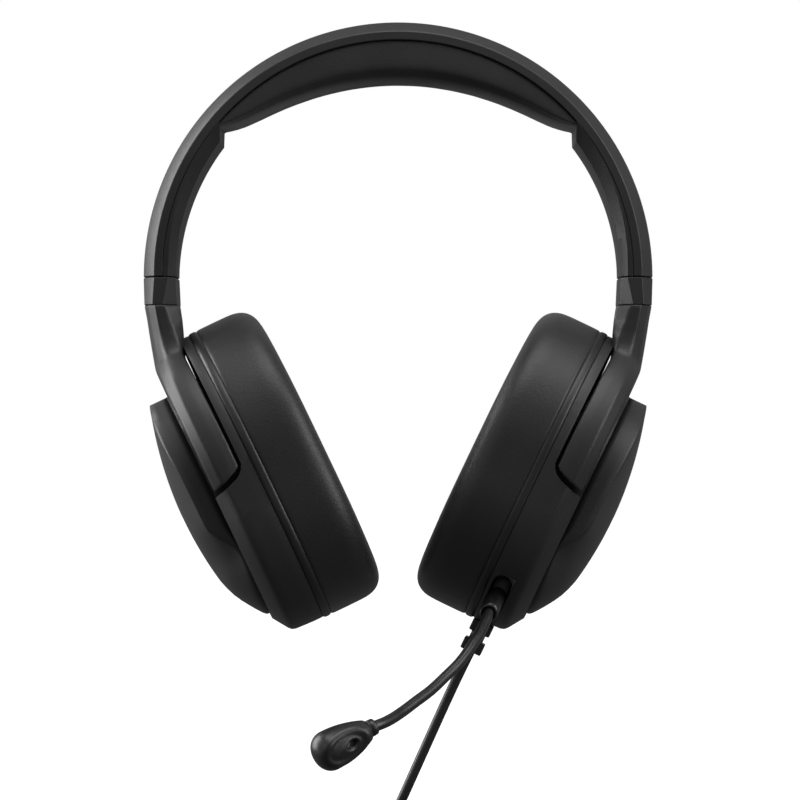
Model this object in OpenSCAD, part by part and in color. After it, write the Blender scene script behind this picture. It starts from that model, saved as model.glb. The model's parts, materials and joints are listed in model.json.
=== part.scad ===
// Over-ear gaming headset with a swing-down microphone and a 3.5 mm plug lead.
// Millimetres. +Z is up and -Y is the front, the way the wearer faces. +X is the wearer's left.
// The origin is the middle of the headband cushion's underside, where it rests on the head.

/* [Headband] */
// Radius of the band's outer face
band_outer_r = 81.3; // [80:0.1:83]
// Thickness of the band shell at its rim, measured towards the head
band_rim = 5.4; // [5:0.1:6]
// Width of the band at the top, front to back
band_width_top = 38; // [36:1:42]
// Width of the band at its two ends, front to back
band_width_end = 31; // [30:1:32]
// Thickness of the cushion in the middle of the band
pad_thick = 14.4; // [12:0.2:16]
// Half the distance between the cushion's two ends
pad_half_span = 56; // [54:0.5:58]
// Radius of the cushion's underside
pad_under_r = 92.8; // [90:0.2:100]

/* [Size slider] */
// Thickness of the arm below the band, across the head
arm_thick = 10.9; // [10.5:0.1:11.2]
// Height of the block between the band and the swivel seam
block_h = 8.6; // [8:0.2:10]
// Thickness of the steel rail
rail_thick = 2; // [1.6:0.1:2.4]
// Width of the steel rail
rail_width = 14; // [10:1:16]
// How far the rail reaches up into the band
rail_reach = 25; // [22:0.5:25]

/* [Ear cup] */
// Lean of the cups, bottom edges in
cup_tilt = 25.6; // [20:0.2:28]
// Turn of the cups about their arms, front edges in
toe_in = 4; // [0:1:6]
// Height of the cup's rim
cup_h = 99.8; // [99:0.2:101]
// Width of the cup's rim
cup_w = 84; // [83:0.2:85]
// Height of the ear cushion
cushion_h = 101.8; // [100:0.2:103]
// Thickness of the ear cushion over its mounting ring
cushion_thick = 19.8; // [17:0.2:22]
// Width of the opening for the ear
ear_w = 44; // [40:1:48]
// Radius of the outer cover's dome
dome_r = 121; // [110:1:140]
// Height of the outer cover's peak over the back of the cup
dome_h = 11.9; // [10:0.1:13]
// Wall thickness of the moulded shells
wall = 2; // [1.6:0.1:2.2]

/* [Yoke] */
// Width of the yoke's band, seen from the side
yoke_band = 11.5; // [11:0.1:12]
// Diameter of each tilt pin
pivot_d = 5; // [4:0.2:5.4]
// Diameter of the swivel pin
swivel_d = 4.4; // [4:0.1:4.6]

/* [Microphone] */
// Angle of the boom below level, in the talking position
boom_drop = 42; // [38:1:46]
// How far the boom swings up from the talking position
boom_raise = 40; // [0:1:40]
// How far the boom swings down from the talking position
boom_lower = 25; // [0:1:25]
// Diameter of the bendable boom
boom_d = 3.4; // [3:0.1:4]
// Diameter of the stiff tube at the boom's root
boom_root_d = 5.8; // [5:0.1:5.8]

/* [Lead] */
// Diameter of the lead
cord_d = 3.2; // [2.6:0.1:3.4]
// Number of turns in the tied coil
coil_turns = 12; // [10:1:13]
// Diameter of the coil, measured to the middle of its turns
coil_mid_d = 37; // [34:1:40]

/* [Hidden] */
$fn = 64;

// Colours
plastic = [0.10, 0.10, 0.11];
soft_plastic = [0.07, 0.07, 0.08];
leatherette = [0.05, 0.05, 0.055];
rubber = [0.04, 0.04, 0.045];
steel = [0.62, 0.63, 0.65];
board_green = [0.05, 0.25, 0.12];
mesh_grey = [0.16, 0.16, 0.17];

// Headband
band_inner_r = band_outer_r - band_rim;
band_z = pad_thick - band_inner_r;
arm_inner_x = band_outer_r - arm_thick;
arm_x = 75.1;
pad_base_thick = 1.6;
pad_floor_z = -14.9;
channel_r = band_outer_r - wall;
housing_top_x = pad_half_span + 0.3;
collar_h = 3.8;
guide_half_w = 10;
guide_top_r = channel_r - 0.3;
spring_r = 77.6;
spring_thick = 0.8;
spring_end_angle = 27;
wire_r = 77.4;
wire_d = 1.4;
screw_angles = [27.5, 35];
seam_gap = 0.3;
shell_edge = [2.7, 4.5];
channel_edge = [5, 7];
liner_screw_r = 1.4;
liner_screw_head = [2.5, 1.5];
liner_bore_r = liner_screw_r + 0.1;
liner_sink_r = liner_screw_head.x + 0.2;

// Slider, with its pocket in the band's end
rail_x = arm_x - 1.4;
pocket_gap = 0.1;
block_top_z = band_z - seam_gap;
block_bottom_z = block_top_z - block_h;
swivel_top_z = block_bottom_z - seam_gap;
swivel_socket = 3.6;
swivel_head = [1.8, 1.4];
outer_chamfer = 5.1;
inner_chamfer = 2.6;
detent_h = 10;

// Cup frame: x to the front, y up along the cup, z towards the head, origin at the cup's centre
cup_at = [52.7, 0, -128.5];
spine = (cup_h - cup_w) / 2;
rim_r = cup_w / 2;
seam_z = 7.7;
rim_thick = 3;
back_z = -7;
drum_r = 30.6;
tip_y = [1.9, 5.6];
tip_z = [-7, 3.7];
tip_gap = 1.6;
tip_corner_r = 3.5;
lower_chamfer_w = 6.6;
lower_corner = [[1.75, 3.2], [0.8, 4.1], [0.35, 5.4]];
drum_top_y = 35.2;
drum_bottom_y = -41.5;
cushion_ring_h = 3.2;
cushion_z = seam_z + cushion_ring_h;
cushion_r = rim_r + (cushion_h - cup_h) / 2;
cushion_corner = 9;
baffle_r = 37.6;
baffle_thick = 2;
driver_r = 25;
screw_places = [[22.5, 20], [-22.5, 20], [24, -24], [-24, -24]];
cup_screw_r = 1.2;
cup_screw_head = [2.4, 1.1];
screw_boss_r = 2.6;
tilt_boss = [4.6, 5.2];

// Yoke, in the cup frame
tilt_at = [8, -0.6];
yoke_outer_r = rim_r + 0.6;
yoke_inner_r = yoke_outer_r - yoke_band;
yoke_out_z = -6.4;
yoke_in_z = 3.7;
yoke_chamfer = 3.2;
swivel_gap = 0.05;

// Microphone, in the cup frame: pivot centre, then the boom's route from the end of its root
hub_at = [22.5, -34.5, 3.4];
hub_r = 6;
hub_h = 5.7;
root_len = 16;
pivot_r = 1.5;
pivot_bore_r = 1.55;
pivot_depth = 2.2;
slot_gap = 0.35;
boom_route = [
    [40, -50, 3], [46, -55, 3.5], [52, -60.5, 4.5], [58, -66, 6.5], [64, -71, 8.5],
    [70, -75.5, 11], [76, -80, 13.5], [82, -83.5, 16], [86, -86, 18.5]
];
mic_neck_at = [87, -87, 19.4];
mic_middle_at = [90, -91, 22.5];
mic_tip_at = [93, -97, 28.5];
mic_body_r = [3.4, 5.6, 5.8];
port_at = (mic_middle_at + mic_tip_at) / 2;
port_r = 3.2;
capsule_size = [3, 2.6];
mic_grille_size = [3.1, 1];
mic_grille_depth = 3.6;

// Volume wheel, in the cup frame
wheel_at = [-27.5, -33.4, 1];
wheel_r = 6.5;
wheel_h = 3;

// Strain relief and lead
relief_at = [0, -cup_h / 2 - 0.02, 4];
relief_len = 10.4;
relief_core_r = 2.4;
relief_rib_w = 7;
relief_rib_h = 3.9;
cord_route = [
    [20.5, 3.6, -186.5], [16, 3.6, -196], [11, 3.6, -207], [6.5, 3.6, -217],
    [2, 3.6, -227], [-2, 3.6, -236], [-4.5, 3.6, -242]
];
coil_at = [8, 3.6, -262];
coil_bundle_d = 1.17 * cord_d * sqrt(coil_turns);
tail_route = [
    [-13, 3.6, -275], [-10.5, 3.6, -284], [-5, 3.6, -292.5], [-1, 3.6, -300], [0, 3.6, -308]
];
plug_top = [0, 3.6, -308];
plug_body_len = 26;
plug_body_d = 8.4;
plug_neck_d = 5;
plug_straight = 17;
plug_pin_d = 3.5;
plug_pin_len = 11;
plug_tip_len = 3;

// Placement ------------------------------------------------------------------------------------

// Turns its children with the arm, about the swivel's upright axis
module on_arm() {
    translate([arm_x, 0, 0])
        rotate([0, 0, -toe_in])
            translate([-arm_x, 0, 0])
                children();
}

// Moves its children from the cup frame to the left cup
module in_cup() {
    on_arm()
        translate(cup_at)
            rotate([0, cup_tilt, 0])
                rotate([90, 0, -90])
                    children();
}

// The right side is the left side's mirror image
module right() {
    mirror([1, 0, 0]) children();
}

// The same placement as in_cup(), for one point
function turn_y(p, a) = [p.x * cos(a) + p.z * sin(a), p.y, p.z * cos(a) - p.x * sin(a)];
function turn_z(p, a) = [p.x * cos(a) - p.y * sin(a), p.x * sin(a) + p.y * cos(a), p.z];
function cup_point(p) =
    let (leaned = turn_y([-p.z, -p.x, p.y], cup_tilt) + cup_at)
    turn_z(leaned - [arm_x, 0, 0], -toe_in) + [arm_x, 0, 0];

// Shapes ---------------------------------------------------------------------------------------

// A band section [radius, width] swept round the headband, angles from +X upwards
module band_arc(from, to) {
    translate([0, 0, band_z])
        rotate([90, 0, 0])
            rotate([0, 0, from])
                rotate_extrude(angle = to - from, $fn = 180)
                    children();
}

// The space the tapering band fills, seen from the side, made narrower by inset on both sides
module band_taper(inset = 0) {
    top = band_width_top / 2 - inset;
    end = band_width_end / 2 - inset;
    rotate([90, 0, 90])
        linear_extrude(200, center = true)
            polygon([[-end, band_z], [end, band_z], [top, 0], [top, 30], [-top, 30], [-top, 0]]);
}

// A flat oval: two half circles and a straight stretch
module oval(r) {
    translate([0, spine]) circle(r);
    translate([0, -spine]) circle(r);
    square([2 * r, 2 * spine], center = true);
}

module oval_plate(r, from, to) {
    translate([0, 0, from]) linear_extrude(to - from) oval(r);
}

// A section [radius, height] swept round the oval
module oval_sweep() {
    for (end = [0, 180])
        rotate([0, 0, end])
            translate([0, spine, 0])
                rotate_extrude(angle = 180, $fn = 96) children();
    rotate([90, 0, 0])
        linear_extrude(2 * spine, center = true) {
            children();
            mirror([1, 0, 0]) children();
        }
}

// Rings of points joined into one closed solid
module loft(rings) {
    sides = len(rings[0]);
    last = len(rings) - 1;
    polyhedron(
        points = [for (ring = rings) each ring],
        faces = [
            [for (i = [0:sides - 1]) i],
            for (k = [0:last - 1], i = [0:sides - 1])
                let (j = (i + 1) % sides, a = k * sides, b = a + sides)
                each [[a + i, b + i, a + j], [a + j, b + i, b + j]],
            [for (i = [sides - 1:-1:0]) last * sides + i]
        ]
    );
}

function unit(v) = v / norm(v);

// A point on the smooth curve through a route, at stretch i and fraction t of it
function on_route(route, i, t) =
    let (
        last = len(route) - 1,
        p0 = i > 0 ? route[i - 1] : 2 * route[0] - route[1],
        p3 = i + 2 <= last ? route[i + 2] : 2 * route[last] - route[last - 1],
        m1 = (route[i + 1] - p0) / 2,
        m2 = (p3 - route[i]) / 2
    )
    (2 * t ^ 3 - 3 * t ^ 2 + 1) * route[i] + (t ^ 3 - 2 * t ^ 2 + t) * m1
    + (3 * t ^ 2 - 2 * t ^ 3) * route[i + 1] + (t ^ 3 - t ^ 2) * m2;

// A round tube along a route, with steps rings on each stretch
module tube(route, d, steps, sides, across) {
    last = len(route) - 1;
    line = [for (i = [0:last - 1], s = [0:steps - 1]) on_route(route, i, s / steps), route[last]];
    count = len(line) - 1;
    loft([
        for (k = [0:count])
            let (
                ahead = unit(line[min(k + 1, count)] - line[max(k - 1, 0)]),
                u = unit(cross(ahead, across)),
                v = cross(ahead, u)
            )
            [
                for (i = [0:sides - 1])
                    let (a = 360 * i / sides)
                    line[k] + d / 2 * (cos(a) * u + sin(a) * v)
            ]
    ]);
}

// Headband -------------------------------------------------------------------------------------

module headband_shell() {
    top = band_width_top / 2;
    color(plastic)
        difference() {
            intersection() {
                band_arc(0, 180)
                    polygon([
                        [band_inner_r, -top], [band_outer_r - shell_edge.x, -top],
                        [band_outer_r, -top + shell_edge.y], [band_outer_r, top - shell_edge.y],
                        [band_outer_r - shell_edge.x, top], [band_inner_r, top]
                    ]);
                band_taper();
            }
            intersection() {
                band_arc(-1, 181)
                    polygon([
                        [band_inner_r - 1, -top], [band_outer_r - channel_edge.x, -top],
                        [channel_r, -top + channel_edge.y], [channel_r, top - channel_edge.y],
                        [band_outer_r - channel_edge.x, top], [band_inner_r - 1, top]
                    ]);
                band_taper(wall + 0.4);
            }
            screw_bores(liner_bore_r, band_inner_r, channel_r - 1);
        }
}

// The spring steel strip that presses the cups against the head
module spring_band() {
    color(steel)
        band_arc(spring_end_angle, 180 - spring_end_angle)
            translate([spring_r, -7]) square([spring_thick, 14]);
}

module headband_pad_base() {
    color(soft_plastic)
        band_arc(43, 137)
            translate([band_inner_r - pad_base_thick, -15.5]) square([pad_base_thick, 31]);
}

// The cushion is cut from the front by the band's curve above and a flatter one below
module headband_cushion() {
    base_r = band_inner_r - pad_base_thick - 0.05;
    half = band_width_top / 2 - 0.6;
    color(leatherette)
        rotate([90, 0, 0])
            linear_extrude(2 * half, center = true)
                difference() {
                    translate([0, band_z]) circle(base_r, $fn = 180);
                    translate([0, -pad_under_r]) circle(pad_under_r, $fn = 180);
                    translate([-100, -200]) square([200, 200 + pad_floor_z]);
                    for (side = [-1, 1])
                        translate([side * (pad_half_span + 20), 0]) square([40, 100], center = true);
                }
}

// The band's end piece: a liner with a guide block round the rail
module slider_housing() {
    color(plastic)
        difference() {
            intersection() {
                union() {
                    band_arc(0, 50)
                        polygon([
                            [arm_inner_x, -12], [arm_inner_x + inner_chamfer, -17],
                            [band_inner_r - 0.1, -17], [band_inner_r - 0.1, 17],
                            [arm_inner_x + inner_chamfer, 17], [arm_inner_x, 12]
                        ]);
                    band_arc(0, 24)
                        translate([band_inner_r - 0.2, -guide_half_w])
                            square([guide_top_r - band_inner_r + 0.2, 2 * guide_half_w]);
                }
                band_taper(0.2);
                translate([housing_top_x, -50, band_z + collar_h]) cube([60, 100, 60]);
            }
            rail_pocket();
            screw_bores(liner_bore_r, 60, 90);
            screw_bores(liner_sink_r, 60, arm_inner_x + 2);
            wire_slot();
            detent_recess();
        }
}

// Straight pocket for the rail, open at the bottom
module rail_pocket() {
    translate([rail_x, 0, band_z + 15])
        cube([rail_thick + 2 * pocket_gap, rail_width + 2 * pocket_gap, 60], center = true);
}

module detent_recess() {
    translate([rail_x - rail_thick / 2 - pocket_gap - 0.35, 0, band_z + detent_h])
        cube([1.1, 8.4, 10.4], center = true);
}

// Passage for the wire between the pocket and the band's channel
module wire_slot() {
    translate([arm_x - 1.2, 8.2, band_z])
        cube([1.8, 2.4, 60], center = true);
}

// The leaf spring beside the rail; the rail has no notches for it
module detent_spring() {
    color(steel)
        translate([rail_x - rail_thick / 2 - pocket_gap - 0.55, 0, band_z + detent_h])
            cube([0.3, 8, 10], center = true);
}

// The cap on the band's end, with the rail's slot
module end_collar() {
    color(soft_plastic)
        difference() {
            intersection() {
                translate([0, 0, band_z])
                    linear_extrude(collar_h)
                        polygon([
                            [arm_inner_x, -12], [arm_inner_x + inner_chamfer, -15],
                            [band_inner_r - 0.3, -15], [band_inner_r - 0.3, 15],
                            [arm_inner_x + inner_chamfer, 15], [arm_inner_x, 12]
                        ]);
                band_taper(0.2);
            }
            rail_pocket();
            wire_slot();
        }
}

// Bores through the left liner for its screws, square to the band
module screw_bores(r, from, to) {
    for (a = screw_angles, side = [0, 180])
        translate([0, 0, band_z])
            rotate([0, side == 0 ? 90 - a : a - 90, 0])
                translate([0, 0, from]) cylinder(r = r, h = to - from);
}

module headband_screws() {
    color(steel)
        for (a = screw_angles, side = [-1, 1])
            translate([0, 0, band_z])
                rotate([0, side * (90 - a), 0])
                    translate([0, 0, arm_inner_x + 0.5]) {
                        cylinder(r = liner_screw_head.x, h = liner_screw_head.y);
                        cylinder(r = liner_screw_r, h = 6);
                    }
}

// The thin lead that feeds the far cup, laid in the band's channel
module crossover_wire() {
    color(rubber)
        band_arc(28, 152)
            translate([wire_r, 10.5]) circle(d = wire_d, $fn = 24);
}

// Slider ---------------------------------------------------------------------------------------

// Section of the arm below the band, seen from above
module arm_section() {
    half = band_width_end / 2;
    polygon([
        [arm_inner_x, -half + 3], [arm_inner_x + inner_chamfer, -half],
        [band_outer_r - outer_chamfer, -half], [band_outer_r, -half + 5.5],
        [band_outer_r, half - 5.5], [band_outer_r - outer_chamfer, half],
        [arm_inner_x + inner_chamfer, half], [arm_inner_x, half - 3]
    ]);
}

module slider_block() {
    color(plastic)
        difference() {
            translate([0, 0, block_bottom_z]) linear_extrude(block_h) arm_section();
            translate([rail_x - rail_thick / 2, -rail_width / 2, block_top_z - 4])
                cube([rail_thick, rail_width, 10]);
            translate([arm_x, 0, block_bottom_z - 1]) cylinder(d = swivel_d, h = swivel_socket + 1);
        }
}

module slider_rail() {
    color(steel)
        translate([rail_x - rail_thick / 2, -rail_width / 2, block_top_z - 4])
            cube([rail_thick, rail_width, rail_reach + 4 + seam_gap]);
}

// Headed pin, held in the block, that the yoke turns on
module swivel_pin() {
    color(steel)
        translate([arm_x, 0, 0]) {
            translate([0, 0, swivel_top_z - 8]) cylinder(d = swivel_d, h = 8 + seam_gap + swivel_socket);
            translate([0, 0, swivel_top_z - 8 - swivel_head.y])
                cylinder(d = swivel_d + swivel_head.x, h = swivel_head.y);
        }
}

// Yoke -----------------------------------------------------------------------------------------

// The yoke's stem, seen from the front: from the swivel seam down to the horseshoe's top
module stem_outline() {
    polygon([
        [69.9, swivel_top_z], [80.9, swivel_top_z], [80, -75], [78.7, -84.6], [77, -92.3],
        [70, -90], [68.6, -86.5], [69.2, -85.3], [67.8, -78.6], [68.8, -75]
    ]);
}

module yoke_stem() {
    intersection() {
        rotate([90, 0, 0])
            linear_extrude(band_width_end + 2, center = true) stem_outline();
        translate([0, 0, -100]) linear_extrude(60)
            polygon([
                [66, -12], [71, -15.5], [76.2, -15.5], [81.3, -10],
                [81.3, 10], [76.2, 15.5], [71, 15.5], [66, 12]
            ]);
    }
}

// Everything below the slanted line across the leg tips, moved down by drop, which turns up
// in a round corner before it reaches the rim
module below_tips(drop) {
    slope = (tip_y[1] - tip_y[0]) / (tip_z[1] - tip_z[0]);
    low = tip_y[0] - slope * 13 - drop;
    corner_z = seam_z - rim_thick - tip_corner_r;
    corner_y = tip_y[0] + slope * (corner_z - tip_z[0]) - drop;
    rotate([90, 0, 90])
        linear_extrude(200, center = true)
            polygon([
                [low, tip_z[0] - 13],
                for (a = [0, 25, 50, 70])
                    [corner_y + tip_corner_r * (1 - cos(a)) + slope * tip_corner_r * sin(a),
                     corner_z + tip_corner_r * sin(a)],
                [corner_y + tip_corner_r, 20], [-120, 20], [-120, tip_z[0] - 13]
            ]);
}

module yoke() {
    color(plastic)
        difference() {
            union() {
                on_arm() yoke_stem();
                in_cup()
                    difference() {
                        oval_sweep()
                            polygon([
                                [yoke_inner_r, yoke_out_z], [yoke_outer_r - yoke_chamfer, yoke_out_z],
                                [yoke_outer_r, yoke_out_z + yoke_chamfer], [yoke_outer_r, yoke_in_z],
                                [yoke_inner_r, yoke_in_z]
                            ]);
                        below_tips(0);
                    }
            }
            translate([arm_x, 0, swivel_top_z - 8.1])
                cylinder(d = swivel_d + 2 * swivel_gap, h = 20);
            translate([arm_x, 0, swivel_top_z - 10]) cylinder(d = swivel_d + 2.2, h = 2.2);
            in_cup() {
                tilt_bore(pivot_d / 2, 39.5);
                oval_plate(rim_r + 1.5, yoke_in_z, 60);
            }
        }
}

// A round bar along the tilt axis, reaching from -half to +half
module tilt_bore(r, half) {
    translate([0, tilt_at[0], tilt_at[1]])
        rotate([0, 90, 0]) cylinder(r = r, h = 2 * half, center = true);
}

// Two short pins, held in the yoke's legs, that the cup tilts on
module tilt_pins() {
    color(steel)
        in_cup()
            for (side = [-1, 1])
                translate([side * 32.2, tilt_at[0], tilt_at[1]])
                    rotate([0, 90, 0]) cylinder(d = pivot_d, h = 14.2, center = true);
}

// Ear cup --------------------------------------------------------------------------------------

// Upright-sided block with the outline that the drum and its cover share
module drum_prism(r, from, to) {
    inset = drum_r - r;
    middle_top = drum_top_y - drum_r;
    middle_bottom = drum_bottom_y + drum_r;
    translate([0, 0, from])
        linear_extrude(to - from) {
            translate([0, middle_top]) circle(r);
            translate([0, middle_bottom]) circle(r);
            translate([-r, middle_bottom]) square([2 * r, middle_top - middle_bottom]);
        }
}

// Outside of the cup: rim, round drum behind it and the full-width lower body
module cup_outside(inset = 0) {
    oval_plate(rim_r - inset, seam_z - rim_thick, seam_z);
    drum_prism(drum_r - inset, back_z + inset, seam_z);
    intersection() {
        oval_sweep()
            polygon([
                [0, back_z + inset], [rim_r - lower_chamfer_w - inset, back_z + inset],
                for (c = lower_corner) [rim_r - c.x - inset, back_z + c.y + inset / 2],
                [rim_r - inset, seam_z - rim_thick], [rim_r - inset, seam_z], [0, seam_z]
            ]);
        below_tips(tip_gap + inset);
    }
}

module cup_housing(with_controls) {
    color(plastic)
        in_cup()
            difference() {
                union() {
                    difference() {
                        cup_outside();
                        cup_outside(wall);
                        drum_prism(drum_r - wall, 0, 14);
                    }
                    intersection() {
                        for (p = screw_places)
                            translate([p.x, p.y, back_z + 1])
                                cylinder(r = screw_boss_r, h = seam_z - back_z - 1);
                        cup_outside();
                    }
                    for (side = [-1, 1])
                        translate([side * 27, tilt_at[0], tilt_at[1]])
                            rotate([0, 90, 0]) cylinder(r = tilt_boss.x, h = tilt_boss.y, center = true);
                    if (with_controls)
                        control_bosses();
                }
                for (p = screw_places)
                    translate([p.x, p.y, back_z + 3]) cylinder(r = cup_screw_r + 0.1, h = 20);
                tilt_bore(pivot_d / 2 + swivel_gap, 60);
                if (with_controls) {
                    mic_pocket();
                    wheel_pocket();
                    translate([0, -45, 4]) rotate([90, 0, 0]) cylinder(d = cord_d, h = 10);
                }
            }
}

// Solid corners of the housing that hold the microphone's pivot and the volume wheel
module control_bosses() {
    intersection() {
        union() {
            translate([hub_at.x, hub_at.y, back_z + 1])
                cylinder(r = 8.6, h = seam_z - back_z - 1);
            translate([wheel_at.x, wheel_at.y, back_z + 1]) cylinder(r = 4, h = 6);
        }
        cup_outside();
    }
}

// Slot that the boom swings in
module mic_pocket() {
    low = -boom_drop - boom_lower;
    high = -boom_drop + boom_raise;
    middle = (low + high) / 2;
    reach = 30;
    gap = boom_root_d / 2 + slot_gap;
    translate([hub_at.x, hub_at.y, hub_at.z - hub_h / 2 - 0.3])
        linear_extrude(hub_h + 0.6) {
            circle(hub_r + 0.4);
            for (a = [low, high])
                rotate(a) translate([0, -gap]) square([reach, 2 * gap]);
            polygon([
                [0, 0], reach * [cos(low), sin(low)], 1.2 * reach * [cos(middle), sin(middle)],
                reach * [cos(high), sin(high)]
            ]);
        }
    translate([hub_at.x, hub_at.y, hub_at.z - hub_h / 2 - pivot_depth]) cylinder(r = pivot_r, h = 3);
}

module wheel_pocket() {
    translate([wheel_at.x, wheel_at.y, wheel_at.z - 0.4]) cylinder(r = wheel_r + 0.5, h = wheel_h + 0.8);
}

module outer_cover() {
    peak = back_z - dome_h;
    color(plastic)
        in_cup()
            difference() {
                intersection() {
                    drum_prism(drum_r, peak - 1, back_z);
                    translate([0, -3, peak + dome_r]) sphere(dome_r, $fn = 180);
                }
                intersection() {
                    drum_prism(drum_r - wall, peak - 1, back_z + 1);
                    translate([0, -3, peak + dome_r + 1]) sphere(dome_r - 1, $fn = 180);
                }
            }
}

module baffle() {
    color(soft_plastic)
        in_cup()
            difference() {
                oval_plate(baffle_r, seam_z, seam_z + baffle_thick);
                translate([0, 0, seam_z - 1]) cylinder(r = driver_r + 0.3, h = 5);
                for (p = screw_places)
                    translate([p.x, p.y, seam_z - 1]) {
                        cylinder(r = cup_screw_r + 0.2, h = 10);
                        translate([0, 0, 1 + baffle_thick - cup_screw_head.y - 0.1])
                            cylinder(r = cup_screw_head.x + 0.2, h = 5);
                    }
            }
}

module cup_screws() {
    color(steel)
        in_cup()
            for (p = screw_places)
                translate([p.x, p.y, seam_z + baffle_thick - cup_screw_head.y - 0.1]) {
                    cylinder(r = cup_screw_head.x, h = cup_screw_head.y);
                    translate([0, 0, -8]) cylinder(r = cup_screw_r, h = 9);
                }
}

// The bead that the cushion's skirt is stretched over
module cushion_ring() {
    color(soft_plastic)
        in_cup()
            oval_sweep()
                polygon([
                    [baffle_r + 0.1, seam_z], [rim_r - 0.2, seam_z], [rim_r + 0.4, seam_z + 0.8],
                    [rim_r + 0.4, cushion_z - 0.8], [rim_r - 0.2, cushion_z], [baffle_r + 0.1, cushion_z]
                ]);
}

module ear_cushion() {
    top = cushion_z + cushion_thick;
    width = cushion_r - ear_w / 2;
    color(leatherette)
        in_cup()
            oval_sweep() {
                translate([ear_w / 2, cushion_z + 0.1]) square([width, cushion_thick - 0.1 - cushion_corner]);
                translate([ear_w / 2 + cushion_corner, cushion_z + 1])
                    square([width - 2 * cushion_corner, cushion_thick - 1]);
                for (x = [ear_w / 2 + cushion_corner, cushion_r - cushion_corner])
                    translate([x, top - cushion_corner]) circle(cushion_corner);
            }
}

// Driver ---------------------------------------------------------------------------------------

module driver_frame() {
    color(soft_plastic)
        in_cup()
            rotate_extrude()
                polygon([
                    [12.2, -0.6], [13.5, -0.6], [24.6, 5.6], [27, 5.6], [27, seam_z], [24.4, seam_z],
                    [24.4, 6.6], [23.4, 6.2], [12.2, 0.8]
                ]);
}

module driver_magnet() {
    color(steel)
        in_cup() {
            translate([0, 0, -4.5]) cylinder(r = 12, h = 5.6);
            translate([0, 0, -4.5]) cylinder(r = 5, h = 8);
        }
}

module diaphragm() {
    color(mesh_grey)
        in_cup()
            rotate_extrude()
                polygon([
                    [0, 6.9], [8, 5.4], [12, 5.2], [20, 6.4], [24.2, 6.9],
                    [24.2, 7.2], [20, 6.8], [12, 5.6], [8, 5.8], [0, 7.3]
                ]);
}

module driver_grille() {
    color(mesh_grey)
        in_cup()
            difference() {
                translate([0, 0, seam_z]) cylinder(r = driver_r, h = 0.8);
                for (ring = [1:3], i = [0:6 * ring - 1])
                    rotate([0, 0, 60 * i / ring])
                        translate([6.4 * ring, 0, 0]) cylinder(r = 1.7, h = 20, $fn = 24);
            }
}

// Controls and microphone ----------------------------------------------------------------------

module control_board() {
    color(board_green)
        in_cup()
            translate([-13, -38.5, 1]) cube([20, 8, 1.6]);
}

module volume_wheel() {
    color(rubber)
        in_cup()
            translate(wheel_at)
                difference() {
                    cylinder(r = wheel_r, h = wheel_h);
                    for (i = [0:29])
                        rotate([0, 0, 12 * i])
                            translate([wheel_r + 0.1, 0, -1]) cylinder(r = 0.5, h = 10, $fn = 16);
                }
}

module mic_pivot_pin() {
    color(steel)
        in_cup()
            translate([hub_at.x, hub_at.y, hub_at.z - hub_h / 2 - pivot_depth])
                cylinder(r = pivot_r, h = hub_h + 2);
}

// The turning hub with the boom's stiff root
module mic_hub() {
    color(rubber)
        in_cup()
            translate(hub_at)
                difference() {
                    union() {
                        cylinder(r = hub_r, h = hub_h, center = true);
                        rotate([0, 0, -boom_drop])
                            rotate([0, 90, 0]) cylinder(d = boom_root_d - 0.2, h = root_len);
                    }
                    cylinder(r = pivot_bore_r, h = 20, center = true);
                }
}

function root_end() = hub_at + root_len * [cos(boom_drop), -sin(boom_drop), 0];

module mic_boom() {
    color(rubber)
        in_cup()
            tube(concat([root_end()], boom_route, [mic_neck_at]), boom_d, 2, 12, [0, 0, 1]);
}

// The microphone's rounded body, hollow round its capsule
module mic_housing() {
    color(plastic)
        in_cup()
            difference() {
                hull() {
                    translate(mic_neck_at) sphere(mic_body_r[0], $fn = 32);
                    translate(mic_middle_at) sphere(mic_body_r[1], $fn = 32);
                    translate(mic_tip_at) sphere(mic_body_r[2], $fn = 32);
                }
                translate(port_at)
                    rotate([0, 90, 0]) cylinder(r = port_r, h = 20);
            }
}

module mic_capsule() {
    color(steel)
        in_cup()
            translate(port_at)
                rotate([0, 90, 0]) cylinder(r = capsule_size.x, h = capsule_size.y);
}

module mic_grille() {
    color(mesh_grey)
        in_cup()
            translate(port_at + [mic_grille_depth, 0, 0])
                rotate([0, 90, 0]) cylinder(r = mic_grille_size.x, h = mic_grille_size.y);
}

// Lead -----------------------------------------------------------------------------------------

// Ribbed rubber sleeve where the lead leaves the cup
module strain_relief() {
    color(rubber)
        in_cup()
            translate(relief_at)
                rotate([90, 0, 0]) {
                    cylinder(r = relief_core_r, h = relief_len);
                    for (from = [0, relief_len - relief_rib_h])
                        translate([-relief_rib_w / 2, -relief_rib_w / 2, from])
                            cube([relief_rib_w, relief_rib_w, relief_rib_h]);
                }
}

module cord() {
    start = cup_point(relief_at - [0, relief_len, 0]);
    color(rubber)
        tube(concat([start], cord_route), cord_d, 2, 8, [0, 1, 0]);
}

// The tied coil as one closed ring
module cord_coil() {
    color(rubber)
        translate(coil_at)
            rotate([90, 0, 0])
                rotate_extrude($fn = 72)
                    translate([coil_mid_d / 2, 0]) circle(d = coil_bundle_d, $fn = 32);
}

// The strap round the coil's top
module cord_tie() {
    color(soft_plastic)
        translate(coil_at + [0, 0, coil_mid_d / 2])
            rotate([0, 90, 0])
                difference() {
                    cylinder(d = coil_bundle_d + 2.4, h = 8, center = true);
                    cylinder(d = coil_bundle_d, h = 10, center = true);
                }
}

module cord_tail() {
    color(rubber)
        tube(tail_route, cord_d, 2, 8, [0, 1, 0]);
}

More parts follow.
